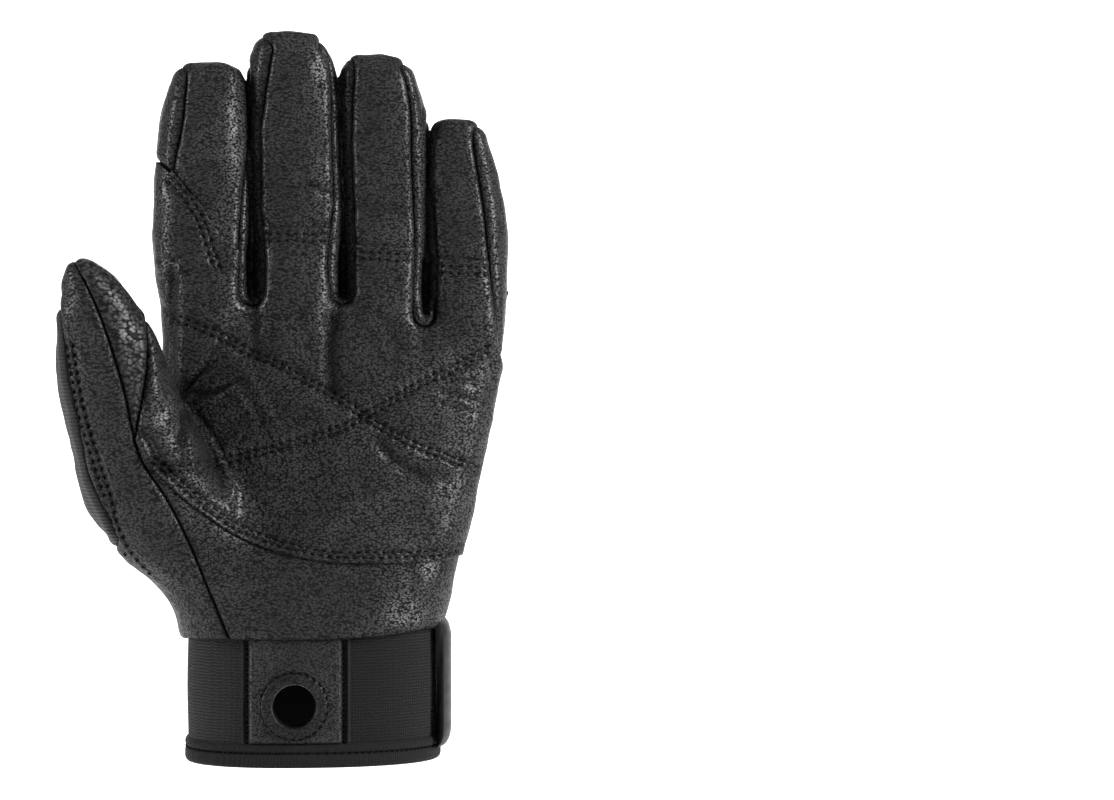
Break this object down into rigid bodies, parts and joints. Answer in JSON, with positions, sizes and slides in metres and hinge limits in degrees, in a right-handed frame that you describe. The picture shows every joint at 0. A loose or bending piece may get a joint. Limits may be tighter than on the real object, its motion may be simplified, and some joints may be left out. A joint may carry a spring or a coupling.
{
  "type": "climbing glove",
  "caption": "Left-hand leather glove for belaying and rappelling, with a doubled palm, stretch fabric back, knitted cuff, closure strap and a hole at the wrist for clipping it to a carabiner.",
  "frame": {"origin": "middle of the opening that the hand goes in through, at the bottom of the hem", "axes": "+Z towards the fingertips, +X from the thumb side to the little finger side, +Y out of the back of the hand, so the palm faces -Y"},
  "size_m": [0.1459, 0.0799, 0.2402],
  "materials": {
    "leather": "grained, satin",
    "stretch_fabric": "woven, matt",
    "knit": "ribbed knit, matt",
    "binding": "woven tape, matt",
    "strap_rubber": "smooth, satin"
  },
  "bodies": {
    "root": {"palm_leather": "leather", "index_front": "leather", "middle_front": "leather", "ring_front": "leather", "little_front": "leather", "palm_overlay": "leather", "thenar_panel": "leather", "thumb_pad": "leather", "back_panel": "stretch_fabric", "index_back": "stretch_fabric", "middle_back": "stretch_fabric", "ring_back": "stretch_fabric", "little_back": "stretch_fabric", "thumb_back": "stretch_fabric", "index_outer_gusset": "leather", "index_middle_gusset": "leather", "middle_ring_gusset": "leather", "ring_little_gusset": "leather", "little_outer_gusset": "leather", "cuff_band": "knit", "hem_binding": "binding", "hem_roll": "binding", "hang_patch": "leather", "thumb_side_tape": "leather", "little_side_tape": "leather", "hang_ring": "leather", "closure_strap": "strap_rubber"}
  },
  "joints": []
}
